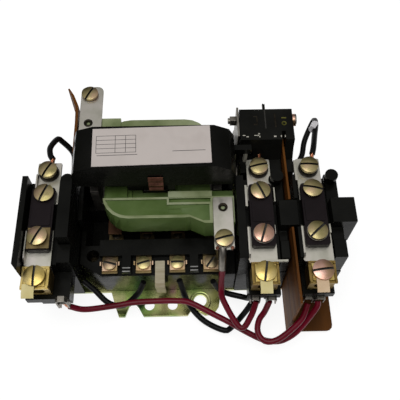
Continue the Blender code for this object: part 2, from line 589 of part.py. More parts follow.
def make_trip_block(side, spec, bay, right):
    x0, x1, y0, y1 = spec["raised"]
    top = spec["wall_z"]
    bed = box((bay + GAP, right - 0.2), (-45.4, 0.0), (BAY_Z + GAP, CHANNEL_Z))
    clear = 47.2 if side == "centre" else BAY_Z + GAP
    raised = [box((x0, min(x1, right - 0.2)), (y0, y1), (BAY_Z + 2, top))]
    if x1 > right:
        raised.append(box((x0, x1), (y0, y1), (clear, top)))
    lower = box((bay + GAP, right - 0.2), (-45.4, -36.4), (BAY_Z + 2, 46.0))
    rx, ry = reset_centre(spec)
    bore = cylinder(rx, ry, 2.3, 34.0, 60.0, sides=12)
    well = cylinder(rx, ry, 3.5, CHANNEL_Z + 0.1, 60.0, sides=16)
    node(f"trip_block_{side}", "phenolic", bed, add=raised + [lower], cut=[bore, well])
    seat = CHANNEL_Z + RESET_TRAVEL + 0.4
    plunger = node(f"reset_plunger_{side}", "phenolic", cylinder(rx, ry, 3.2, seat, seat + 2.6, sides=16),
                   add=[cylinder(rx, ry, 2.0, 37.6, seat + 1, sides=12)])
    hang_on(f"reset_axis_{side}", (rx, ry, CHANNEL_Z), [plunger])


# ---- barriers ----
def make_barriers():
    """A folded fibre sheet: a web between two relays and a flange behind the right one."""
    t = 1.0
    web = [(62.0, 18.0), (64.1 - t, -68.4), (64.1, -68.4), (62.0 + t, 18.0)]
    web = prism(web, "Z", FLOOR_Z, 49.8)
    flange = prism(rounded((64.0 - t, 86.8), (-68.4, -1.0), 3.0, steps=3, corners=(False, True, True, False)),
                   "Z", FLOOR_Z, FLOOR_Z + 0.9)
    notch = box((58.0, 70.0), (-31.4, -16.7), (46.0, 60.0))
    node("phase_barrier", "fibre", web, add=[flange], cut=[notch])
    sheet = [(-43.1, 12.0), (-43.2, 30.0), (-43.6, 40.0), (-46.0, 47.0), (-48.4, 51.6), (-47.6, 52.0),
             (-44.8, 47.4), (-42.0, 40.4), (-41.8, 30.0), (-42.2, 12.0)]
    node("coil_barrier", "fibre", prism(sheet, "Z", FLOOR_Z, 49.6))


# ---- auxiliary contact ----


def make_auxiliary():
    side_view = [(31.8, 30.0), (31.8, 56.0), (13.4, 56.0), (12.2, 50.0), (9.0, 43.8), (2.0, 43.6),
                 (2.0, 24.0), (26.0, 24.0)]
    seam = box((AUX_SEAM - 0.3, AUX_SEAM + 0.3), (20.0, 40.0), (55.4, 60.0))
    seam_front = box((AUX_SEAM - 0.3, AUX_SEAM + 0.3), (0.0, 2.6), (20.0, 60.0))
    hood = box((30.0, 47.4), (5.4, 11.9), (43.7, 70.0))
    cavity = box((42.2, 60.5), (5.5, 13.5), (27.0, 40.0))
    window = box((42.8, 48.8), (1.0, 4.4), (30.0, 39.0))
    slot = box((61.6, 63.4), (0.0, 18.4), (20.0, 60.0))
    bolt = cylinder(*AUX_BOLT, 1.8, 20.0, 90.0, axis="X", sides=12)
    shaft = cylinder(*AUX_PLUNGER, 1.5, 30.0, 70.0, sides=12)
    pin = box((52.9, 54.2), (31.0, 35.4), (54.2, 55.8))
    node("aux_housing", "phenolic", prism(side_view, "X", 40.9, 67.7), add=[pin],
         cut=[hood, cavity, window, slot, bolt, shaft, seam, seam_front])

    bracket = [(14.0, FLOOR_Z), (38.0, FLOOR_Z), (38.0, 27.0), (33.4, 36.0), (33.4, 55.6), (16.0, 55.6)]
    foot = box((40.0, 56.0), (16.0, 38.0), (FLOOR_Z, FLOOR_Z + 1.2))
    shank = cylinder(*AUX_BOLT, 1.5, 35.4, 69.0, axis="X", sides=12)
    cap = cylinder(*AUX_BOLT, 3.2, 68.0, 70.4, axis="X", sides=16)
    nut = cylinder(*AUX_BOLT, 2.6, 36.4, 39.8, axis="X", sides=6)
    groove = box((69.5, 72.0), (24.0, 35.0), (AUX_BOLT[1] - 0.5, AUX_BOLT[1] + 0.5))
    node("aux_bracket", "plated", prism(bracket, "X", 39.6, 40.6), add=[foot, shank, cap, nut], cut=[groove])

    px, py = AUX_PLUNGER
    stem = cylinder(px, py, 1.2, 33.0, CARRIER_Z[0] - GAP, sides=12)
    bridge = box((px - 0.9, 59.4), (py - 1.5, py + 1.5), (33.6, 35.0))
    plunger = node("aux_plunger", "tag", stem, add=[bridge])
    hang_on("aux_axis", (px, py, CARRIER_Z[0]), [plunger])


# ---- leads ----
def make_leads():
    wire("red_control_lead", "red", RED_CONTROL_LEAD)
    wire("red_coil_lead", "red", RED_COIL_LEAD)
    wire("red_relay_jumper", "red", RED_RELAY_JUMPER)
    wire("black_load_lead", "black_wire", BLACK_LOAD_LEAD)
    wire("black_pole_lead", "black_wire", BLACK_POLE_LEAD)
    wire("black_control_lead", "black_wire", BLACK_CONTROL_LEAD)
    wire("black_left_lead", "black_wire", BLACK_LEFT_LEAD)
    wire("black_right_lead", "black_wire", BLACK_RIGHT_LEAD)


def build():
    clear_scene()
    make_mounting_plate()
    make_moulded_base()
    make_base_terminals()
    armature = make_magnet()
    make_coil()
    make_coil_terminals()
    moving = make_carrier()
    hang_on("carrier_axis", (MAGNET_X, MAGNET_Y, CARRIER_Z[0]), moving + [armature])
    make_return_springs()
    for side, spec in RELAYS.items():
        make_relay(side, spec)
    make_barriers()
    make_auxiliary()
    make_leads()


build()
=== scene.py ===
"""The looks of a magnetic motor starter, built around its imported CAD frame.

Lengths are in millimetres in this file, in the CAD's own frame: +X right, +Y to the line side, +Z out of
the panel. They become metres where a mesh or a curve is made.
"""
import math

import bmesh
import bpy
from mathutils import Matrix, Vector


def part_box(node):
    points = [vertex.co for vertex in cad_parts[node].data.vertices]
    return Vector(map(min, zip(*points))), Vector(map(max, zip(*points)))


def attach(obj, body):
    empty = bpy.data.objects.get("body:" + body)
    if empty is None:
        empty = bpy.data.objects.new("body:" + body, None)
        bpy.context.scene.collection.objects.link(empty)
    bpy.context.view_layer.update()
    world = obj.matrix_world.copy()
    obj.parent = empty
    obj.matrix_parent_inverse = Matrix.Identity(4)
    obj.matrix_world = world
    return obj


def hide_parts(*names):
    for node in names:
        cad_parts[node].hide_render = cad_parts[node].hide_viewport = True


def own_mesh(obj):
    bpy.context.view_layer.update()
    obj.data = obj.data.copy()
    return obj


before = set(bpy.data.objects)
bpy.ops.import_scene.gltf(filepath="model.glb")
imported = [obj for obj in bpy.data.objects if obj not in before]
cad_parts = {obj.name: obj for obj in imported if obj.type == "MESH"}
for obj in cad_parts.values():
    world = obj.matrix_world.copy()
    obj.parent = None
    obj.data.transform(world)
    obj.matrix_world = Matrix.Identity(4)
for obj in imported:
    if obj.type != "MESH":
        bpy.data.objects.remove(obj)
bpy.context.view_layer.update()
MM = 0.001


# ---- camera, light and floor ----
def make_camera():
    turn, tilt, roll = math.radians(-2.0), math.radians(62.4), math.radians(0.72)
    away = Vector((-math.sin(turn) * math.cos(tilt), math.cos(turn) * math.cos(tilt), -math.sin(tilt)))
    right = Vector((math.cos(turn), math.sin(turn), 0))
    up = right.cross(away)
    across = math.cos(roll) * right + math.sin(roll) * up
    upright = math.cos(roll) * up - math.sin(roll) * right
    data = bpy.data.cameras.new("camera")
    data.sensor_width = 36.0
    data.lens = 52.88
    data.clip_start = 0.01
    data.clip_end = 10.0
    camera = bpy.data.objects.new("camera", data)
    rotation = Matrix((across, upright, -away)).transposed().to_4x4()
    camera.matrix_world = Matrix.Translation(Vector((15.49, -146.51, 298.89)) * MM) @ rotation
    bpy.context.scene.collection.objects.link(camera)
    bpy.context.scene.camera = camera


def area_light(name, position, target, size, power, colour=(1, 1, 1)):
    data = bpy.data.lights.new(name, "AREA")
    data.shape = "DISK"
    data.size = size
    data.energy = power
    data.color = colour
    light = bpy.data.objects.new(name, data)
    light.location = position
    light.rotation_euler = (Vector(target) - Vector(position)).to_track_quat("-Z", "Y").to_euler()
    bpy.context.scene.collection.objects.link(light)


def make_world():
    """A sky that is brighter overhead than at the sides."""
    world = bpy.data.worlds.new("studio")
    bpy.context.scene.world = world
    world.use_nodes = True
    tree = world.node_tree
    coordinates = tree.nodes.new("ShaderNodeTexCoord")
    split = tree.nodes.new("ShaderNodeSeparateXYZ")
    ramp = tree.nodes.new("ShaderNodeValToRGB")
    side, top = ramp.color_ramp.elements
    side.position = 0.45
    side.color = (0.05, 0.05, 0.05, 1)
    top.position = 0.90
    top.color = (0.80, 0.80, 0.79, 1)
    tree.links.new(coordinates.outputs["Generated"], split.inputs[0])
    tree.links.new(split.outputs["Z"], ramp.inputs[0])
    tree.links.new(ramp.outputs[0], tree.nodes["Background"].inputs["Color"])


def make_floor():
    bm = bmesh.new()
    rings = [[bm.verts.new((r * math.cos(a), r * math.sin(a), -0.0004))
              for a in (2 * math.pi * k / 48 for k in range(48))] for r in (0.5, 3.0)]
    bm.faces.new(rings[0])
    for k in range(48):
        bm.faces.new((rings[0][k], rings[1][k], rings[1][(k + 1) % 48], rings[0][(k + 1) % 48]))
    mesh = bpy.data.meshes.new("floor")
    bm.to_mesh(mesh)
    bm.free()
    floor = bpy.data.objects.new("floor", mesh)
    bpy.context.scene.collection.objects.link(floor)
    paint = bpy.data.materials.new("floor_paint")
    paint.use_nodes = True
    shader = paint.node_tree.nodes["Principled BSDF"]
    shader.inputs["Base Color"].default_value = (0.22, 0.22, 0.22, 1)
    shader.inputs["Roughness"].default_value = 0.9
    shader.inputs["Emission Color"].default_value = (1, 1, 1, 1)
    shader.inputs["Emission Strength"].default_value = 0.86
    mesh.materials.append(paint)


def make_studio():
    bpy.context.scene.view_settings.view_transform = "Standard"
    area_light("key_light", (-0.10, -0.16, 0.94), (0, 0, 0.03), 0.60, 3.4)
    make_world()
    make_floor()


# ---- materials ----
NOISE_LOW, NOISE_HIGH = 0.3, 0.7    # the middle of a noise's range, where it varies most
SPOT_SCALE = 3.1                    # how much finer the gloss varies than the colour
GRAIN_DEPTH = 0.0002                # in metres


def noise(tree, mapping, scale, detail):
    """A noise over the piece's own coordinates, as a socket."""
    texture = tree.nodes.new("ShaderNodeTexNoise")
    texture.inputs["Scale"].default_value = scale
    texture.inputs["Detail"].default_value = detail
    tree.links.new(mapping.outputs[0], texture.inputs["Vector"])
    return texture.outputs["Fac"]


def drifting_colour(tree, factor, colours):
    """Colours spread evenly over a noise's range, as a socket."""
    ramp = tree.nodes.new("ShaderNodeValToRGB")
    elements = ramp.color_ramp.elements
    while len(elements) < len(colours):
        elements.new(0.5)
    span = NOISE_HIGH - NOISE_LOW
    for i, colour in enumerate(colours):
        elements[i].position = NOISE_LOW + span * i / max(1, len(colours) - 1)
        elements[i].color = (*colour, 1)
    tree.links.new(factor, ramp.inputs[0])
    return ramp.outputs[0]


def drifting_roughness(tree, factor, roughness):
    """A roughness between two limits, as a socket."""
    spread = tree.nodes.new("ShaderNodeMapRange")
    spread.inputs["From Min"].default_value = NOISE_LOW
    spread.inputs["From Max"].default_value = NOISE_HIGH
    spread.inputs["To Min"].default_value = roughness[0]
    spread.inputs["To Max"].default_value = roughness[1]
    tree.links.new(factor, spread.inputs["Value"])
    return spread.outputs[0]


def grain(tree, factor, strength):
    """A fine relief from a noise, as a socket."""
    relief = tree.nodes.new("ShaderNodeBump")
    relief.inputs["Strength"].default_value = strength
    relief.inputs["Distance"].default_value = GRAIN_DEPTH
    tree.links.new(factor, relief.inputs["Height"])
    return relief.outputs[0]


def surface(name, colours, roughness, metallic=0.0, scale=90.0, stretch=(1, 1, 1), bump=0.0,
            bump_scale=900.0, detail=6.0, specular=0.5):
    """A procedural finish: colours and a roughness that drift over the surface, and a fine grain."""
    mat = bpy.data.materials.new(name)
    mat.use_nodes = True
    tree = mat.node_tree
    shader = tree.nodes["Principled BSDF"]
    shader.inputs["Metallic"].default_value = metallic
    shader.inputs["Specular IOR Level"].default_value = specular
    coordinates = tree.nodes.new("ShaderNodeTexCoord")
    mapping = tree.nodes.new("ShaderNodeMapping")
    mapping.inputs["Scale"].default_value = stretch
    tree.links.new(coordinates.outputs["Object"], mapping.inputs["Vector"])
    colour = drifting_colour(tree, noise(tree, mapping, scale, detail), colours)
    tree.links.new(colour, shader.inputs["Base Color"])
    gloss = drifting_roughness(tree, noise(tree, mapping, scale * SPOT_SCALE, 3.0), roughness)
    tree.links.new(gloss, shader.inputs["Roughness"])
    if bump:
        relief = grain(tree, noise(tree, mapping, bump_scale, 4.0), bump)
        tree.links.new(relief, shader.inputs["Normal"])
    return mat


PHENOLIC = surface("phenolic",
                   [(0.0022, 0.0022, 0.0016), (0.0042, 0.0042, 0.0034), (0.0075, 0.0075, 0.0062)],
                   (0.18, 0.34), scale=60, bump=0.12, bump_scale=500, specular=0.07)
ZINC = surface("zinc_yellow",
               [(0.05, 0.14, 0.04), (0.22, 0.30, 0.08), (0.44, 0.43, 0.20), (0.36, 0.36, 0.11),
                (0.40, 0.16, 0.22)],
               (0.16, 0.34), metallic=1.0, scale=42, bump=0.05, bump_scale=700, detail=3)
NICKEL = surface("nickel_plate", [(0.36, 0.35, 0.29), (0.47, 0.45, 0.39), (0.54, 0.50, 0.46)],
                 (0.30, 0.46), metallic=1.0, scale=110, bump=0.08, bump_scale=1500)
BRASS = surface("lug_brass", [(0.26, 0.19, 0.05), (0.48, 0.36, 0.12), (0.58, 0.46, 0.20)],
                (0.26, 0.42), metallic=1.0, scale=120, bump=0.10, bump_scale=1200)
SCREW = surface("screw_brass", [(0.22, 0.19, 0.08), (0.34, 0.28, 0.14), (0.44, 0.29, 0.20)],
                (0.24, 0.40), metallic=1.0, scale=140, bump=0.06, bump_scale=1600, detail=2)
COPPER = surface("copper", [(0.40, 0.14, 0.07), (0.60, 0.28, 0.16)],
                 (0.25, 0.4), metallic=1.0, scale=200)
BRONZE = surface("bronze", [(0.07, 0.028, 0.016), (0.22, 0.10, 0.07)],
                 (0.25, 0.45), metallic=1.0, scale=180)
STEEL = surface("laminations", [(0.10, 0.095, 0.085), (0.22, 0.20, 0.18)],
                (0.35, 0.6), metallic=1.0, scale=200, stretch=(1, 12, 1), bump=0.25, bump_scale=300)
SPRING = surface("spring_steel", [(0.35, 0.34, 0.32), (0.55, 0.54, 0.52)],
                 (0.25, 0.35), metallic=1.0, scale=200)
GREEN = surface("coil_resin", [(0.055, 0.098, 0.018), (0.088, 0.140, 0.036), (0.125, 0.180, 0.062)],
                (0.30, 0.5), scale=55, bump=0.25, bump_scale=260, specular=0.25)
# Paler green for the coil's upward faces: a painted highlight.
GREEN_LIT_TOP = surface("coil_resin_painted_highlight", [(0.14, 0.175, 0.07), (0.24, 0.275, 0.14), (0.33, 0.37, 0.23)],
                     (0.34, 0.55), scale=75, bump=0.25, bump_scale=260, specular=0.25)
FIBRE = surface("vulcanised_fibre", [(0.060, 0.020, 0.003), (0.105, 0.036, 0.005), (0.145, 0.052, 0.007)],
                (0.5, 0.7), scale=70, stretch=(1, 0.25, 3), bump=0.2, bump_scale=900, specular=0.1)
LABEL = surface("label_metal", [(0.49, 0.43, 0.40), (0.56, 0.50, 0.47), (0.52, 0.465, 0.435)], (0.35, 0.5),
                scale=45, bump=0.03, bump_scale=1500)
INK = surface("label_ink", [(0.05, 0.045, 0.045), (0.10, 0.09, 0.09)], (0.5, 0.6), scale=300)
HEATER = surface("heater_moulding", [(0.0050, 0.0028, 0.0034), (0.0100, 0.0062, 0.0074)],
                 (0.3, 0.5), bump=0.2, bump_scale=800, specular=0.10)
RED = surface("red_insulation", [(0.085, 0.001, 0.006), (0.15, 0.0015, 0.014)],
              (0.28, 0.4), scale=60, specular=0.2)
BLACK = surface("black_insulation", [(0.003, 0.003, 0.003), (0.006, 0.006, 0.006)],
                (0.3, 0.42), scale=60, specular=0.10)
NYLON = surface("white_nylon", [(0.40, 0.38, 0.30), (0.50, 0.47, 0.40)], (0.4, 0.55), scale=120)
SLEEVE = surface("marker_sleeve", [(0.60, 0.58, 0.60), (0.74, 0.72, 0.74)], (0.4, 0.5), scale=200)
TAG = surface("yellow_tag", [(0.60, 0.50, 0.20), (0.72, 0.63, 0.32)], (0.5, 0.65), scale=150)
TAG_PINK = surface("pink_tag", [(0.56, 0.38, 0.22), (0.68, 0.50, 0.32)], (0.5, 0.65), scale=150)
# Dark steel; on the clamps and collars under screw heads its darkness is painted shade.
DARK_STEEL_AND_SHADE = surface("dark_steel_and_painted_shade", [(0.012, 0.010, 0.008), (0.05, 0.042, 0.03)],
                     (0.35, 0.55), metallic=1.0, scale=220, bump=0.1)
# Near black: painted shade inside the screw slots, and the dark seam line on the auxiliary housing.
SLOT_SHADE_AND_SEAM = surface("painted_slot_shade_and_seam", [(0.006, 0.005, 0.003), (0.02, 0.016, 0.01)], (0.5, 0.7), scale=300)
BRONZE_DARK = surface("dark_bronze", [(0.06, 0.042, 0.02), (0.20, 0.15, 0.07)], (0.3, 0.5), metallic=1.0,
                      scale=150)
BRONZE_DEEP = surface("deep_bronze", [(0.05, 0.025, 0.014), (0.12, 0.06, 0.035)], (0.35, 0.5), metallic=1.0,
                      scale=150)
BRASS_DARK = surface("dull_brass", [(0.14, 0.09, 0.025), (0.30, 0.21, 0.07)], (0.3, 0.5), metallic=1.0,
                     scale=130, bump=0.1, bump_scale=1000)
BRASS_OLIVE = surface("olive_brass", [(0.05, 0.05, 0.012), (0.16, 0.15, 0.04)], (0.4, 0.55), metallic=1.0,
                      scale=260)
BRASS_PINK = surface("pink_brass", [(0.32, 0.22, 0.09), (0.52, 0.36, 0.22), (0.60, 0.42, 0.30)],
                     (0.3, 0.45), metallic=1.0, scale=170)
SCREW_DULL = surface("dull_screw", [(0.10, 0.09, 0.05), (0.20, 0.16, 0.09), (0.26, 0.17, 0.12)],
                     (0.3, 0.44), metallic=1.0, scale=160)
SCREW_ROSE = surface("rose_screw", [(0.30, 0.20, 0.10), (0.46, 0.27, 0.20), (0.56, 0.36, 0.30)],
                     (0.24, 0.40), metallic=1.0, scale=150, detail=2)
NICKEL_DARK = surface("dull_nickel", [(0.12, 0.11, 0.09), (0.28, 0.26, 0.23)], (0.3, 0.5), metallic=1.0,
                      scale=200)
# Pale grey: painted glints on the edges of the ridges between terminals.
RIDGE_GLINT = surface("painted_ridge_glint", [(0.20, 0.20, 0.19), (0.32, 0.31, 0.30)], (0.35, 0.5), scale=400)
TAN = surface("tan_strip", [(0.30, 0.25, 0.15), (0.42, 0.37, 0.26)],
              (0.4, 0.6), scale=130, stretch=(1, 6, 1))


# ---- shapes, each a new bmesh in millimetres ----
def prism(outline, axis, low, high):
    """A closed solid: an outline drawn across an axis, extruded from low to high along it."""
    place = {"X": lambda u, v, w: (w, u, v),
             "Y": lambda u, v, w: (u, w, v),
             "Z": lambda u, v, w: (u, v, w)}[axis]
    bm = bmesh.new()
    bottom = [bm.verts.new(place(u, v, low)) for u, v in outline]
    top = [bm.verts.new(place(u, v, high)) for u, v in outline]
    bm.faces.new(bottom)
    bm.faces.new(list(reversed(top)))
    for i in range(len(outline)):
        j = (i + 1) % len(outline)
        bm.faces.new((bottom[i], top[i], top[j], bottom[j]))
    bmesh.ops.recalc_face_normals(bm, faces=bm.faces)
    return bm


def box(x, y, z):
    return prism([(x[0], y[0]), (x[1], y[0]), (x[1], y[1]), (x[0], y[1])], "Z", z[0], z[1])


def arc(u, v, radius, start, sweep, steps):
    """Points on an arc, both ends included, with its angles in degrees."""
    return [(u + radius * math.cos(math.radians(start + sweep * i / steps)),
             v + radius * math.sin(math.radians(start + sweep * i / steps))) for i in range(steps + 1)]


def disc(u, v, radius, low, high, axis="Z", sides=40):
    return prism(arc(u, v, radius, 0, 360 * (sides - 1) / sides, sides - 1), axis, low, high)


def lathe(profile, x, y, z, axis="Z", sides=48):
    """A closed solid turned from (radius, height) points, the first and the last on the axis."""
    bm = bmesh.new()
    rings = []
    for radius, height in profile:
        if radius < 1e-6:
            rings.append([bm.verts.new((0, 0, height))])
        else:
            rings.append([bm.verts.new((radius * math.cos(2 * math.pi * k / sides),
                                        radius * math.sin(2 * math.pi * k / sides), height))
                          for k in range(sides)])
    for a, b in zip(rings, rings[1:]):
        for k in range(sides):
            n = (k + 1) % sides
            corners = [a[k % len(a)], a[n % len(a)], b[n % len(b)], b[k % len(b)]]
            bm.faces.new(list(dict.fromkeys(corners)))
    bmesh.ops.recalc_face_normals(bm, faces=bm.faces)
    turn = {"Z": Matrix.Identity(4), "X": Matrix.Rotation(math.pi / 2, 4, "Y"),
            "Y": Matrix.Rotation(-math.pi / 2, 4, "X")}[axis]
    bmesh.ops.transform(bm, matrix=Matrix.Translation((x, y, z)) @ turn, verts=bm.verts)
    return bm


def rounded(x, y, radius, steps=5, corners=(True, True, True, True)):
    """A rectangle with round corners, from the lower left one anticlockwise."""
    points = []
    for (cx, cy, start), is_round in zip(((x[0], y[0], 180), (x[1], y[0], 270), (x[1], y[1], 0),
                                          (x[0], y[1], 90)), corners):
        inward = (cx + (radius if cx == x[0] else -radius), cy + (radius if cy == y[0] else -radius))
        points += arc(*inward, radius, start, 90, steps) if is_round else [(cx, cy)]
    return points


# ---- pieces ----
def mesh_of(bm, name):
    bmesh.ops.scale(bm, vec=(MM, MM, MM), verts=bm.verts)
    mesh = bpy.data.meshes.new(name)
    bm.to_mesh(mesh)
    bm.free()
    return mesh


def soften(obj, width, segments=2, angle=32):
    """Round the edges and shade the faces smooth."""
    if width:
        bevel = obj.modifiers.new("edges", "BEVEL")
        bevel.width = width * MM
        bevel.segments = segments
        bevel.limit_method = "ANGLE"
        bevel.angle_limit = math.radians(angle)
        bevel.harden_normals = True
    obj.data.shade_smooth()
    obj.data.set_sharp_from_angle(angle=math.radians(angle))
    return obj


def carve(obj, solid, operation="DIFFERENCE"):
    """Cut a solid out of an object's mesh, or join it on."""
    tool = bpy.data.objects.new("tool", mesh_of(solid, "tool"))
    bpy.context.scene.collection.objects.link(tool)
    boolean = obj.modifiers.new("cut", "BOOLEAN")
    boolean.operation = operation
    boolean.solver = "EXACT"
    boolean.object = tool
    bpy.context.view_layer.update()
    made = bpy.data.meshes.new_from_object(obj.evaluated_get(bpy.context.evaluated_depsgraph_get()))
    obj.modifiers.clear()
    obj.data = made
    bpy.data.objects.remove(tool, do_unlink=True)


def piece(name, bm, mat, body="frame", bevel=0.25, segments=2, cut=(), add=(), stands_for=()):
    """One visible piece: a solid with others joined to it or cut out, riding on a CAD body."""
    obj = bpy.data.objects.new(name, mesh_of(bm, name))
    bpy.context.scene.collection.objects.link(obj)
    for solid in add:
        carve(obj, solid, "UNION")
    for solid in cut:
        carve(obj, solid)
    obj.data.name = name
    obj.data.materials.clear()
    obj.data.materials.append(mat)
    soften(obj, bevel, segments)
    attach(obj, body)
    if stands_for:
        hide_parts(*stands_for)
    return obj


def cad(node, mat, bevel=0.3, segments=2):
    """Keep a CAD node's shape, with its edges rounded and a better material."""
    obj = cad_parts[node]
    obj.data.materials.clear()
    obj.data.materials.append(mat)
    for polygon in obj.data.polygons:
        polygon.material_index = 0
    if "custom_normal" in obj.data.attributes:
        obj.data.attributes.remove(obj.data.attributes["custom_normal"])
    if bevel:
        weld = obj.modifiers.new("weld", "WELD")
        weld.merge_threshold = 1e-6
        flat = obj.modifiers.new("flat", "DECIMATE")
        flat.decimate_type = "DISSOLVE"
        flat.angle_limit = math.radians(1)
        soften(obj, bevel, segments)
    else:
        obj.data.shade_smooth()
        obj.data.set_sharp_from_angle(angle=math.radians(35))
    return obj


# ---- leads ----
def smooth_route(points, spacing):
    """Points at even spacing on a smooth curve through a route's own points, and the curve's length."""
    route = [Vector(p) for p in points]
    route = [2 * route[0] - route[1]] + route + [2 * route[-1] - route[-2]]
    dense = []
    for a, b, c, d in zip(route, route[1:], route[2:], route[3:]):
        for i in range(12):
            t = i / 12
            dense.append(0.5 * (2 * b + (c - a) * t + (2 * a - 5 * b + 4 * c - d) * t ** 2
                                + (3 * b - a - 3 * c + d) * t ** 3))
    dense.append(route[-2])
    lengths = [0.0]
    for a, b in zip(dense, dense[1:]):
        lengths.append(lengths[-1] + (b - a).length)
    count = max(2, round(lengths[-1] / spacing))
    result = []
    k = 0
    for i in range(count + 1):
        target = lengths[-1] * i / count
        while k < len(dense) - 2 and lengths[k + 1] < target:
            k += 1
        result.append(dense[k].lerp(dense[k + 1], (target - lengths[k]) / (lengths[k + 1] - lengths[k])))
    return result, lengths[-1]


def curve_mesh(name, points, radius, mat, body="frame", sides=10):
    """A round rod along a line of points, as a mesh."""
    bm = bmesh.new()
    rings = []
    across = (points[1] - points[0]).orthogonal().normalized()
    for i, point in enumerate(points):
        along = (points[min(i + 1, len(points) - 1)] - points[max(i - 1, 0)]).normalized()
        across = (across - along * across.dot(along)).normalized()
        other = along.cross(across)
        rings.append([bm.verts.new(point + radius * (math.cos(a) * across + math.sin(a) * other))
                      for a in (2 * math.pi * k / sides for k in range(sides))])
    for first, second in zip(rings, rings[1:]):
        for k in range(sides):
            n = (k + 1) % sides
            bm.faces.new((first[k], first[n], second[n], second[k]))
    bm.faces.new(rings[0])
    bm.faces.new(list(reversed(rings[-1])))
    bmesh.ops.recalc_face_normals(bm, faces=bm.faces)
    return piece(name, bm, mat, body, bevel=0)


def curve_piece(name, points, radius, mat, body="frame", resolution=4):
    """A round rod along a line of points, as a curve with filled ends."""
    curve = bpy.data.curves.new(name, "CURVE")
    curve.dimensions = "3D"
    curve.bevel_depth = radius * MM
    curve.bevel_resolution = resolution
    curve.use_fill_caps = True
    spline = curve.splines.new("POLY")
    spline.points.add(len(points) - 1)
    for target, point in zip(spline.points, points):
        target.co = (*(Vector(point) * MM), 1.0)
        target.radius = 1.0
    spline.use_smooth = True
    curve.materials.append(mat)
    obj = bpy.data.objects.new(name, curve)
    bpy.context.scene.collection.objects.link(obj)
    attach(obj, body)
    return obj


# The points that each lead runs through, from one terminal to the other.
RED_CONTROL_LEAD = [(-44.0, -59.2, 23.6), (-37.0, -59.5, 19.0), (-23.0, -57.0, 16.0), (-14.5, -55.5, 15.5),
                    (-5.5, -55.0, 15.5), (7.0, -55.0, 15.5), (14.5, -56.0, 15.0), (26.5, -62.0, 13.5),
                    (34.0, -66.0, 13.0), (41.0, -70.0, 12.0), (49.5, -74.0, 10.5), (55.5, -75.0, 10.0),
                    (60.5, -74.5, 11.5), (67.0, -71.0, 15.0), (75.0, -63.0, 24.0), (75.8, -60.0, 26.0)]
RED_COIL_LEAD = [(29.9, -46.9, 38.5), (29.9, -48.4, 34.5), (29.7, -52.0, 27.5), (30.5, -57.5, 23.0),
                 (38.5, -70.0, 18.0), (43.5, -65.5, 21.0), (46.3, -59.4, 26.2)]
RED_RELAY_JUMPER = [(52.6, -59.5, 26.0), (50.5, -63.0, 20.0), (48.0, -66.0, 17.5), (47.0, -70.5, 15.5),
                    (48.5, -74.5, 15.0), (52.0, -76.5, 15.5), (58.0, -75.0, 17.0), (67.5, -68.0, 22.0),
                    (70.9, -61.1, 26.0)]
BLACK_LOAD_LEAD = [(9.2, -46.6, 22.4), (13.5, -54.5, 9.5), (21.0, -62.5, 6.0), (31.0, -67.5, 5.0),
                   (35.0, -66.5, 6.5), (41.0, -62.0, 15.0), (44.5, -58.8, 22.0)]
BLACK_POLE_LEAD = [(25.9, -47.0, 21.0), (28.5, -48.5, 14.5), (32.5, -50.0, 11.5), (41.5, -52.5, 11.5),
                   (44.0, -54.0, 14.5), (45.2, -54.9, 20.2)]
BLACK_CONTROL_LEAD = [(-39.7, -43.2, 15.0), (-34.0, -47.5, 12.5), (-27.0, -53.5, 9.5), (-19.5, -54.5, 8.5),
                      (-12.0, -50.0, 13.0), (-8.6, -46.5, 20.2)]
BLACK_LEFT_LEAD = [(-52.8, 9.2, 47.4), (-54.5, 12.0, 47.0), (-55.5, 18.0, 45.0), (-53.5, 25.5, 41.0),
                   (-52.0, 26.5, 38.0), (-46.5, 22.5, 32.0), (-46.0, 15.5, 28.5), (-44.5, 10.0, 26.5),
                   (-41.2, 8.6, 26.2)]
BLACK_RIGHT_LEAD = [(77.0, 9.3, 48.2), (78.2, 13.5, 48.0), (80.4, 23.0, 45.0), (82.5, 32.0, 42.0),
                    (82.5, 36.5, 38.0), (77.5, 27.0, 34.0), (75.5, 19.0, 32.0), (72.5, 14.0, 31.5),
                    (69.4, 12.6, 31.4)]

LEAD_DIAMETER = 3.0
LEADS = {"red_control_lead": (RED_CONTROL_LEAD, RED), "red_coil_lead": (RED_COIL_LEAD, RED),
         "red_relay_jumper": (RED_RELAY_JUMPER, RED), "black_load_lead": (BLACK_LOAD_LEAD, BLACK),
         "black_pole_lead": (BLACK_POLE_LEAD, BLACK), "black_control_lead": (BLACK_CONTROL_LEAD, BLACK),
         "black_left_lead": (BLACK_LEFT_LEAD, BLACK), "black_right_lead": (BLACK_RIGHT_LEAD, BLACK)}


def make_leads():
    """Each lead's insulation, along the route of its CAD tube."""
    for node, (route, mat) in LEADS.items():
        points, length = smooth_route(route, 1.5)
        lead = curve_piece(node + "_insulation", points, LEAD_DIAMETER / 2, mat)
        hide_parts(node)


# ---- screws ----
SLOT = 1.1                      # width of a screwdriver slot
SLOT_FLOOR = 0.3                # the slot's floor, as a share of the head's height
DOME = math.radians(17)         # slope of a binding head at its edge
NEAR = 0.02                     # how near a face is to the slot to be part of it


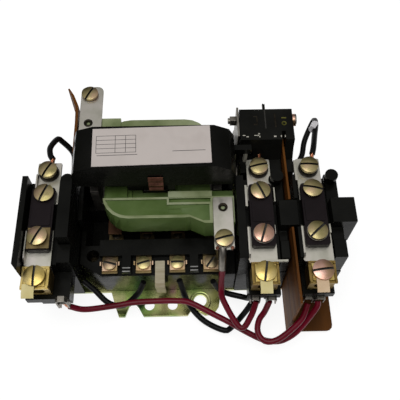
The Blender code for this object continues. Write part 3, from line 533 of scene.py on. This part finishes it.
def screw(name, x, y, seat, radius, height, angle, mat=None, shank=1.7, reach=2.0, body="frame"):
    """A slotted binding-head screw: a low dome over an upright rim, and its shank."""
    crown = radius / math.sin(DOME)
    top = seat + height
    profile = [(0, seat - reach), (shank, seat - reach), (shank, seat), (radius - 0.35, seat),
               (radius, seat + 0.3)]
    for i in range(7, 0, -1):
        slope = DOME * i / 7
        profile.append((crown * math.sin(slope), top - crown * (1 - math.cos(slope))))
    profile.append((0, top))
    slot_floor = seat + SLOT_FLOOR * height
    slot = box((-radius - 1, radius + 1), (-SLOT / 2, SLOT / 2), (slot_floor, top + 1))
    turned = Matrix.Translation((x, y, 0)) @ Matrix.Rotation(math.radians(angle), 4, "Z")
    bmesh.ops.transform(slot, matrix=turned, verts=slot.verts)
    head = piece(name, lathe(profile, x, y, 0), mat or SCREW, body, bevel=0, cut=[slot])
    # The slot's walls and floor get the near-black material: painted shade in the slot.
    head.data.materials.append(SLOT_SHADE_AND_SEAM)
    for polygon in head.data.polygons:
        centre = turned.inverted() @ (polygon.center / MM)
        if abs(centre.y) < SLOT / 2 + NEAR and centre.z > slot_floor - NEAR:
            polygon.material_index = 1
    return head


# ---- overload relays ----
# For each relay: the centres of its line terminal, heater, load lug and tag, its strap's two sides, how
# far its heater screws stand off the centre line, and where the slots of its four screws point.
RELAYS = {
    "left": dict(line=-54.4, heater=-55.3, lug=-55.7, tag=-58.1, strap=(-61.7, -49.4), lean=0.5, rise=0.7,
                 turns=(62, 68, 64, 90)),
    "centre": dict(line=49.6, heater=49.3, lug=49.2, tag=49.1, strap=(41.9, 55.4), lean=0.0, rise=0.0,
                   turns=(12, -66, 72, 80)),
    "right": dict(line=74.6, heater=74.6, lug=75.3, tag=74.6, strap=(67.2, 81.6), lean=0.1, rise=0.7,
                  turns=(-4, -12, 42, 6)),
}
LINE_SCREW_Y = 2.3
HEATER_SCREW_Y = (-34.4, -11.8)
LUG_SCREW_Y = -52.3
STRAP_Z = 44.3                  # back face of the plated straps and tabs
STRAP_FRONT = STRAP_Z + 1.2
TAB_HALF = 5.9                  # half widths of the line tab, heater and lug
HEATER_HALF = 5.6
LUG_HALF = 6.3


def line_tab(side, spec):
    """The folded tab that takes the pole's conductor, its clamp and its screw."""
    x = spec["line"]
    outline = rounded((x - TAB_HALF, x + TAB_HALF), (-15.0, 8.3), 0.8, corners=(False, False, True, True))
    low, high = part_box(f"reset_plunger_{side}")
    relief = disc((low[0] + high[0]) / 2 / MM, (low[1] + high[1]) / 2 / MM, 3.7, STRAP_Z - 1, STRAP_Z + 3)
    if side == "left":
        lips = [box((x - TAB_HALF, x - 5.0), (-8.0, 1.0), (STRAP_Z, 47.4))]
    elif side == "centre":
        lips = [box((41.9, 43.1), (-19.0, -7.4), (STRAP_Z, 47.6)),
                box((43.0, 44.0), (-15.0, -7.4), (STRAP_Z, STRAP_FRONT))]
    else:
        lips = [box((x - 7.2, x - 5.8), (-4.5, 7.0), (STRAP_Z, 46.6))]
    piece(f"line_tab_{side}_plate", prism(outline, "Z", STRAP_Z, STRAP_FRONT), NICKEL, bevel=0.25,
          cut=[relief], add=lips, stands_for=[f"line_tab_{side}"])
    # The clamp under the line screw is near black: painted shade beneath the head.
    profile = [(0, 45.4), (4.9, 45.4), (5.0, 46.2), (4.6, 48.2), (0, 48.2)]
    piece(f"line_clamp_{side}", lathe(profile, x, LINE_SCREW_Y, 0), DARK_STEEL_AND_SHADE, bevel=0.1)
    screw(f"line_screw_{side}", x, LINE_SCREW_Y, 48.2, 4.5, 2.6, spec["turns"][0])


def heater(side, spec):
    """The plug-in heater: a moulded strip with a screw at each end and a washer under the lower one."""
    x, lean, rise = spec["heater"], spec["lean"], spec["rise"]
    low = (x - lean, HEATER_SCREW_Y[0] + rise)
    high = (x + lean, HEATER_SCREW_Y[1] + rise)
    strip = prism(rounded((x - HEATER_HALF, x + HEATER_HALF), (-40.4, -7.6), 1.5), "Z", 45.8, 48.9)
    ridge = prism(rounded((x - 4.6, x + 4.6), (-28.0, -17.2), 0.8), "Z", 48.0, 49.25)
    seats = [disc(*low, 4.8, 48.0, 49.2), disc(*high, 4.8, 48.0, 49.2)]
    piece(f"heater_{side}_strip", strip, HEATER, bevel=0.35, add=[ridge] + seats,
          stands_for=[f"heater_{side}"])
    if side == "left":
        # The square plate's dark bronze also paints the shadow that falls over the tab under the lower
        # screw.
        plate = box((x - 5.3, x + 5.3), (low[1] - 6.0, low[1] + 4.6), (48.95, 49.45))
        piece("heater_left_washer", plate, BRONZE_DARK, bevel=0.15)
    else:
        ring = lathe([(3.0, 49.25), (5.0, 49.25), (5.0, 49.6), (3.0, 49.6), (3.0, 49.25)], *low, 0)
        bmesh.ops.remove_doubles(ring, verts=ring.verts, dist=1e-5)
        piece(f"heater_{side}_washer", ring, NICKEL_DARK, bevel=0.08)
    rose = SCREW_ROSE if side == "centre" else None
    screw(f"heater_{side}_lower_screw", *low, 49.6, 4.7, 2.1, spec["turns"][2], rose)
    screw(f"heater_{side}_upper_screw", *high, 49.4, 4.7, 2.1, spec["turns"][1])
    if side == "centre":
        lip = box((56.0, 56.7), (-16.4, -8.6), (STRAP_Z, 47.0))
        piece("heater_centre_spring_lip", lip, NICKEL, bevel=0.1)


def load_strap(side, spec):
    """The strap from the heater's lower end down to the lug."""
    x = spec["heater"]
    start, end = spec["strap"]
    outline = rounded((start, end), (-46.9, -29.0), 1.4, corners=(True, False, False, False))
    lip = [(-45.4, STRAP_Z), (-29.0, STRAP_Z), (-29.0, 47.4), (-30.4, 48.7), (-44.0, 48.7), (-45.4, 47.0)]
    extra = [prism(lip, "X", start, start + (0.6 if side == "left" else 0.9)),
             box((x - 5.2, x + 5.2), (-46.9, -45.9), (36.0, STRAP_Z + 0.6))]
    if side == "centre":
        extra.append(box((x, 60.3), (-46.9, -45.9), (STRAP_Z, STRAP_FRONT)))
    if side != "left":
        extra.append(box((end - 0.9, end), (-33.6, -29.0), (STRAP_Z, 47.4)))
    piece(f"load_strap_{side}_plate", prism(outline, "Z", STRAP_Z, STRAP_FRONT), NICKEL, bevel=0.22,
          add=extra, stands_for=[f"load_strap_{side}"])


def load_lug(side, spec):
    """The motor terminal: a folded brass box with a wire way, a clamp plate, a number tag and a screw."""
    x, tag_x = spec["lug"], spec["tag"]
    # The box sits back under the top plate; its dull brass is partly tarnish and partly painted shade
    # beneath the overhang.
    frame_box = box((x - 6.1, x + 6.1), (-57.0, -47.4), (34.5, 45.2))
    way = disc(x, 39.6, 3.3, -65.0, -40.0, axis="Y")
    piece(f"load_lug_{side}_box", frame_box, BRASS_DARK, bevel=0.3, cut=[way],
          stands_for=[f"load_lug_{side}"])
    top = box((x - LUG_HALF, x + LUG_HALF), (-58.2, -47.2), (45.3, 46.3))
    ears = [box((x + turn * 5.7 - 0.5, x + turn * 5.7 + 0.5), (y, y + 1.2), (45.5, 47.0))
            for turn in (-1, 1) for y in (-57.8, -48.8)]
    recess = box((x - 5.2, x + 5.2), (-57.4, -48.0), (46.0, 48.0))
    piece(f"load_lug_{side}_top", top, BRASS if side == "left" else BRASS_DARK, bevel=0.2, cut=[recess],
          add=ears)
    clamp_plate = box((x - 4.9, x + 4.9), (-56.9, -48.4), (46.05, 46.75))
    piece(f"load_lug_{side}_clamp", clamp_plate, BRASS, bevel=0.2)
    # The collar under the lug screw is near black: painted shade beneath the head.
    piece(f"load_lug_{side}_collar", disc(x, LUG_SCREW_Y, 4.9, 46.6, 47.3), DARK_STEEL_AND_SHADE, bevel=0.1)
    tag = [(-56.0, 46.9), (-60.2, 46.9), (-62.4, 46.0), (-62.4, 46.4), (-60.2, 47.3), (-56.0, 47.3)]
    piece(f"load_lug_{side}_tag", prism(tag, "X", tag_x - 2.8, tag_x + 2.8),
          TAG_PINK if side == "right" else TAG, bevel=0.06)
    finish = SCREW_ROSE if side == "right" else BRASS
    screw(f"load_lug_{side}_screw", x, LUG_SCREW_Y, 47.3, 4.9, 2.1, spec["turns"][3], finish, shank=3.6,
          reach=1.0)


def make_relays():
    for side, spec in RELAYS.items():
        cad(f"overload_body_{side}", PHENOLIC, 0.4)
        cad(f"trip_block_{side}", PHENOLIC, 0.45)
        cad(f"reset_plunger_{side}", PHENOLIC, 0.4)
        line_tab(side, spec)
        heater(side, spec)
        load_strap(side, spec)
        load_lug(side, spec)


# ---- contactor ----
POLE_X = [(i - 1.5) * 16.7 for i in range(4)]
TERMINAL_TURNS = (-14, 16, 0, 52)    # where each terminal screw's slot points, in degrees
CAVITY_Y = (-28.0, 26.0)
BASE_SCREWS = ((-34.0, -33.5), (30.6, -33.5), (-34.0, 31.0), (30.6, 31.0))
MAGNET_Y = 3.0


def terminal(side_name, index, side, wall, reach):
    """A fixed contact and its strip, a saddle clamp and its screw, on one end of a pole."""
    name = f"{side_name}_terminal_{index + 1}"
    x = POLE_X[index]
    y = wall + side * reach
    edge = wall - side * 0.3
    tip = y + side * 4.6
    contact = MAGNET_Y + side * 17.6
    heel = contact - side * 3.4
    outline = [(heel, 5.3), (edge, 5.3), (edge, 24.3), (tip - side * 0.4, 24.3), (tip, 24.6), (tip, 25.3),
               (edge - side * 1.0, 25.3), (edge - side * 1.0, 6.3), (heel, 6.3)]
    strip = prism(outline, "X", x - 3.9, x + 3.9)
    tongue = box((x - 3.4, x + 3.4), tuple(sorted((tip - side * 0.3, tip - side * 1.2))), (24.4, 25.2))
    piece(f"{name}_strip", strip, BRONZE_DARK, bevel=0.12, add=[tongue], stands_for=[name])
    button = [(0, 6.2), (2.1, 6.2), (2.1, 6.6), (1.6, 6.8), (0, 6.8)]
    piece(f"{name}_contact", lathe(button, x, contact, 0, sides=24), DARK_STEEL_AND_SHADE, bevel=0.05)
    wings = [(-4.9, 26.9), (-4.3, 25.4), (4.3, 25.4), (4.9, 26.9), (4.2, 26.9), (3.7, 26.2), (-3.7, 26.2),
             (-4.2, 26.9)]
    saddle = prism([(x + u, z) for u, z in wings], "Y", y - 0.9, y + 1.2)
    front = box((x - 3.7, x + 3.7), tuple(sorted((y, y + side * 3.5))), (25.4, 26.2))
    piece(f"{name}_saddle", saddle, BRASS_PINK, bevel=0.12, add=[front])
    finish = SCREW_DULL if index in (0, 3) else None
    screw(f"{name}_screw", x, y, 26.3, 3.3, 2.0, TERMINAL_TURNS[index], finish, shank=1.5, reach=1.4)


def make_base():
    cad("moulded_base", PHENOLIC, 0.35)
    cad("base_retaining_clip", TAN, 0.15)
    for i in range(len(POLE_X)):
        terminal("load", i, -1, CAVITY_Y[0], 11.0)
        terminal("line", i, 1, CAVITY_Y[1], 6.0)
    # Thin pale strips between the terminals: painted glints on the ridge edges.
    for i, x in enumerate((-16.7, 16.7)):
        for k, y in enumerate((-41.6, -43.4)):
            ridge = prism(arc(y, 27.5, 0.35, 0, 330, 11), "X", x - 1.9, x + 1.9)
            piece(f"painted_glint_ridge_{i + 1}_{k + 1}", ridge, RIDGE_GLINT, bevel=0)
    for i, (x, y) in enumerate(BASE_SCREWS):
        screw(f"base_screw_{i + 1}", x, y, 6.2, 2.9, 1.8, 25 + 40 * i, SCREW_DULL, shank=1.5, reach=4.0)


def make_coil():
    """The moulded coil: the CAD's block with a sunk front, a pocket and a trough cut into it, and ribs."""
    block = bmesh.new()
    block.from_mesh(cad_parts["coil"].data)
    bmesh.ops.scale(block, vec=(1 / MM, 1 / MM, 1 / MM), verts=block.verts)
    inner = [(-26.0, -13.6)] + arc(-14.6, -10.8, 11.3, 194, 76, 10)[1:]
    inner += [(14.6, -22.1), (21.4, -25.3), (24.6, -25.3), (24.6, -16.6), (4.0, -16.6), (4.0, -13.6)]
    recess = prism(inner, "Z", 45.3, 48.0)
    pocket = prism(rounded((4.6, 11.0), (-20.8, -18.6), 0.5), "Z", 44.9, 48.0)
    trough = box((5.0, 25.2), (-15.4, -13.2), (44.4, 48.0))
    coil = piece("coil_moulding", block, GREEN, bevel=0.5, segments=3, cut=[recess, pocket, trough],
                 stands_for=["coil"])
    # Upward faces above the sunk front get the paler green: a painted highlight on the lit top.
    coil.data.materials.append(GREEN_LIT_TOP)
    for polygon in coil.data.polygons:
        if polygon.normal.z > 0.9 and polygon.center.z / MM > 45.8:
            polygon.material_index = 1
    ribs = [((-26.4, -15.8), (-11.9, -3.5), 41.6), ((-14.6, -13.4), (-12.2, -3.0), 41.4),
            ((9.0, 10.4), (-12.2, -3.0), 41.8), ((16.0, 25.6), (-9.2, -4.5), 41.4)]
    for i, (x, y, top) in enumerate(ribs):
        piece(f"coil_rib_{i + 1}", box(x, y, (39.6, top)), GREEN, bevel=0.3)


# Where the two coil terminals have their screws and rivets.
UPPER_SCREW = (-36.6, 48.6)
UPPER_EYELET = (-36.6, 30.6)
LOWER_SCREW = (30.9, -36.0)
LOWER_EYELET = (31.0, -19.2)


def eyelet(name, x, y, z):
    """A rolled rivet through a tab."""
    profile = [(1.1, z - 0.8), (1.9, z - 0.05), (2.2, z), (2.3, z + 0.25), (1.9, z + 0.45), (1.4, z + 0.35),
               (1.1, z), (1.1, z - 0.8)]
    rivet = lathe(profile, x, y, 0, sides=32)
    bmesh.ops.remove_doubles(rivet, verts=rivet.verts, dist=1e-5)
    piece(name, rivet, DARK_STEEL_AND_SHADE, bevel=0)


def make_coil_terminals():
    """Two plated tabs, each with an eyelet and a screw; the lower one holds a lead's ring terminal."""
    upper = rounded((-41.4, -29.7), (26.0, 54.0), 3.2, corners=(False, False, True, True))
    piece("coil_tab_upper", prism(upper, "Z", 47.0, 48.0), NICKEL, bevel=0.2,
          cut=[disc(*UPPER_EYELET, 1.2, 40, 60, sides=24)], stands_for=["coil_terminal_upper"])
    lower = rounded((26.2, 35.8), (-41.0, -13.6), 0.8)
    piece("coil_tab_lower", prism(lower, "Z", 46.3, 47.3), NICKEL, bevel=0.2,
          cut=[disc(*LOWER_EYELET, 1.2, 40, 60, sides=24)], add=[disc(*LOWER_SCREW, 4.2, 47.1, 47.7)],
          stands_for=["coil_terminal_lower"])
    eyelet("coil_eyelet_upper", *UPPER_EYELET, 48.0)
    eyelet("coil_eyelet_lower", *LOWER_EYELET, 47.3)
    screw("coil_screw_upper", *UPPER_SCREW, 48.2, 4.3, 2.2, 62, shank=1.8)
    screw("coil_screw_lower", *LOWER_SCREW, 48.2, 4.3, 2.2, 14, shank=1.8)
    washer = lathe([(0, 47.6), (4.6, 47.6), (4.7, 47.8), (4.6, 48.1), (0, 48.1)], *LOWER_SCREW, 0)
    piece("coil_screw_washer", washer, NICKEL_DARK, bevel=0.08)
    for i, x in enumerate((27.6, 34.6)):
        ear = prism(arc(x, -40.4, 0.9, 0, 360, 16)[:-1], "Z", 46.5, 47.8)
        piece(f"ring_terminal_ear_{i + 1}", ear, BRONZE, bevel=0.2)
    barrel = [(30.1, -40.2, 47.0), (30.1, -41.8, 46.4), (30.0, -43.8, 44.0), (29.9, -45.6, 41.2),
              (29.9, -47.2, 38.2)]
    curve_piece("ring_terminal_barrel", [Vector(point) for point in barrel], 1.85, NICKEL_DARK)


def helix(x, radius, low, high, turns, steps):
    """Points along a coil spring's wire, round an axis through the magnet's middle line."""
    points = []
    for k in range(steps + 1):
        angle = 2 * math.pi * turns * k / steps
        points.append(Vector((x + radius * math.cos(angle), MAGNET_Y + radius * math.sin(angle),
                              low + (high - low) * k / steps)))
    return points


def make_moving_system():
    """The magnet, the carrier with what rides on it, and the springs that lift it."""
    cad("magnet_core", STEEL, 0.12)
    cad("armature", STEEL, 0.12)
    cad("armature_carrier", PHENOLIC, 0.5)
    cad("contact_crossbar", PHENOLIC, 0.3)
    cad("rating_plate", LABEL, 0.12)
    cad("armature_clip", BRONZE, 0.15)
    for i, x in enumerate(POLE_X):
        cad(f"contact_bridge_{i + 1}", BRONZE_DEEP, 0.1)
        coils = helix(x, 2.0, 13.5, 15.8, turns=4, steps=96)
        curve_piece(f"contact_spring_{i + 1}", coils, 0.22, SPRING, body="carrier", resolution=2)
    for side, x in (("left", -19.3), ("right", 15.6)):
        coils = helix(x, 3.5, 40.8, 55.2, turns=6.5, steps=208)
        spring = curve_mesh(f"return_spring_{side}_coil", coils, 0.42, SPRING)
        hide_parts(f"return_spring_{side}")
        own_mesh(spring)
    make_label()


def make_label():
    """A blank rating plate: a ruled grid and a line, with no lettering."""
    z = 69.8
    half = 0.12
    rules = [((-27.6, -9.3), (y - half, y + half)) for y in (8.2, 5.9, 3.6, 1.3, -1.1)]
    rules += [((x - half, x + half), (-1.1, 8.2)) for x in (-27.6, -18.8, -14.0, -9.3)]
    rules += [((-27.2, -8.6), (-2.6, -2.3)), ((7.6, 22.8), (-1.4, -1.1))]
    turned = Matrix.Rotation(math.radians(1.25), 4, "Z")
    for i, (x, y) in enumerate(rules):
        rule = box(x, y, (z - 0.02, z + 0.03))
        bmesh.ops.transform(rule, matrix=turned, verts=rule.verts)
        piece(f"label_rule_{i + 1}", rule, INK, "carrier", bevel=0)


# ---- auxiliary contact, barriers and plate ----
AUX_PLUNGER = (43.4, 9.5)
AUX_BOLT = (29.0, 50.0)         # in Y and Z
AUX_EYE = (63.1, 22.9)


def make_auxiliary():
    """The auxiliary contact: its housing, bracket and bolt, and the ends of its fixed contacts."""
    cad("aux_housing", PHENOLIC, 0.4)
    cad("aux_bracket", NICKEL_DARK, 0.12)
    bridge = box((42.5, 59.4), (8.0, 11.0), (33.6, 35.0))
    piece("aux_plunger_stem", disc(*AUX_PLUNGER, 1.1, 33.0, 51.2), NYLON, "aux_plunger", bevel=0.12,
          add=[bridge], stands_for=["aux_plunger"])
    y, z = AUX_BOLT
    profile = [(0, 68.0), (3.1, 68.0), (3.2, 68.3), (3.2, 69.6), (2.7, 70.3), (0, 70.4)]
    slot = box((69.6, 72.0), (y - 4, y + 4), (z - 0.5, z + 0.5))
    piece("aux_bolt_head", lathe(profile, 0, y, z, axis="X"), SCREW_ROSE, bevel=0, cut=[slot])
    piece("aux_seam_line", box((53.5, 54.1), (14.0, 31.4), (55.4, 55.85)), SLOT_SHADE_AND_SEAM, bevel=0)
    hole = disc(*AUX_EYE, 0.6, 55.0, 57.0, sides=24)
    piece("aux_fixed_contact_eye", disc(*AUX_EYE, 1.3, 55.7, 56.2), BRASS_OLIVE, bevel=0.1, cut=[hole])
    bar = box((61.9, 64.5), (25.8, 26.6), (55.7, 56.25))
    piece("aux_fixed_contact_bar", bar, BRASS_OLIVE, bevel=0.15)
    dull = [((58.3, 59.3), (20.6, 29.0)), ((47.7, 50.0), (22.0, 23.0)), ((49.3, 50.0), (23.0, 27.0)),
            ((47.7, 50.0), (27.0, 27.6))]
    for i, (x, y) in enumerate(dull):
        piece(f"aux_rear_contact_{i + 1}", box(x, y, (55.7, 56.1)), DARK_STEEL_AND_SHADE, bevel=0.15)
    bright = [((41.9, 43.4), (15.6, 16.2)), ((43.6, 45.0), (14.8, 15.4)), ((47.6, 50.0), (15.6, 16.1)),
              ((49.6, 50.6), (16.4, 17.2)), ((49.9, 50.7), (14.6, 15.6)), ((57.3, 58.7), (14.6, 15.6)),
              ((60.7, 61.4), (14.6, 15.8)), ((62.7, 63.3), (14.6, 15.8))]
    for i, (x, y) in enumerate(bright):
        piece(f"aux_front_contact_{i + 1}", box(x, y, (55.7, 56.25)), NICKEL, bevel=0.15)


def make_barriers():
    cad("phase_barrier", FIBRE, 0.12)
    cad("coil_barrier", FIBRE, 0.12)


def make_plate():
    """The zinc plated plate, with two turned rings pressed around its mounting hole."""
    cad("mounting_plate", ZINC, 0.35)
    for i, (inner, outer, z) in enumerate(((3.5, 4.4, 2.35), (5.0, 5.6, 2.2))):
        middle = (inner + outer) / 2
        shoulder = z - 0.1
        profile = [(inner, 1.9), (outer, 1.9), (outer, shoulder), (middle, z), (inner, shoulder),
                   (inner, 1.9)]
        ring = lathe(profile, 19.6, -51.3, 0)
        bmesh.ops.remove_doubles(ring, verts=ring.verts, dist=1e-5)
        piece(f"plate_ring_{i + 1}", ring, ZINC, bevel=0)


# ---- control terminals and wire ends ----
def clamp(name, x, y, low, high):
    """A saddle clamp that grips a stripped wire end on a control terminal."""
    half, wall, slope = 2.4, 0.6, 0.8
    inner = half - wall
    outline = [(-half, low), (-half, high - slope), (slope - half, high), (half - slope, high),
               (half, high - slope), (half, low), (inner, low), (inner, high - 1.0),
               (-inner, high - 1.0), (-inner, low)]
    saddle = prism([(x + u, z) for u, z in outline], "Y", y - 1.4, y + 1.4)
    piece(name, saddle, NICKEL_DARK, bevel=0.12)


def strands(name, start, end, radius=1.0):
    """Bare copper strands, twisted, from the insulation's end to the terminal."""
    start, end = Vector(start), Vector(end)
    along = (end - start).normalized()
    across = along.orthogonal().normalized()
    other = along.cross(across)
    for k in range(5):
        points = []
        for i in range(9):
            share = i / 8
            angle = 2 * math.pi * (k / 5 + 0.35 * share)
            spread = radius * 0.62 * (1 + 0.25 * share * (k % 2))
            offset = across * spread * math.cos(angle) + other * spread * math.sin(angle)
            points.append(start.lerp(end, share) + offset)
        curve_piece(f"{name}_{k + 1}", points, radius * 0.42, COPPER, resolution=2)


# Each control clamp's place in X and Y, then its lowest and highest point.
CONTROL_CLAMPS = {"left_inner": (-45.6, -58.7, 23.6, 30.4), "centre_left": (45.6, -58.8, 24.6, 30.4),
                  "centre_right": (53.4, -58.8, 23.6, 30.0), "right_left": (71.0, -58.8, 24.0, 30.0),
                  "right_right": (76.6, -58.8, 24.0, 30.0)}


def make_wire_ends():
    for name, place in CONTROL_CLAMPS.items():
        clamp(f"control_clamp_{name}", *place)
    strands("strands_red_control", (-44.2, -59.2, 23.8), (-45.8, -58.6, 28.4))
    strands("strands_left_lead", (-52.8, 9.4, 47.4), (-53.2, 6.4, 47.0))
    strands("strands_right_lead", (77.0, 9.5, 48.2), (76.4, 6.4, 47.0))
    strands("strands_aux_lead", (50.8, 11.0, 46.4), (50.2, 6.6, 46.4), radius=0.8)
    control_saddle()
    sleeve_points = [Vector((79.8, 27.0, 43.9)), Vector((81.2, 29.4, 43.1)), Vector((82.2, 31.8, 42.1))]
    curve_piece("marker_sleeve", sleeve_points, 2.0, SLEEVE)


def control_saddle():
    """The bare metal saddle on the left relay's inner control terminal."""
    outline = [(-48.4, 26.0), (-48.4, 34.6), (-47.2, 36.0), (-44.0, 36.0), (-42.8, 34.6), (-42.8, 26.0),
               (-43.6, 26.0), (-43.6, 34.2), (-44.4, 35.2), (-46.8, 35.2), (-47.6, 34.2), (-47.6, 26.0)]
    piece("control_saddle_left", prism(outline, "Y", -60.9, -58.0), NICKEL_DARK, bevel=0.12)


make_camera()
make_studio()
make_leads()
make_plate()
make_base()
make_coil()
make_coil_terminals()
make_moving_system()
make_relays()
make_auxiliary()
make_barriers()
make_wire_ends()
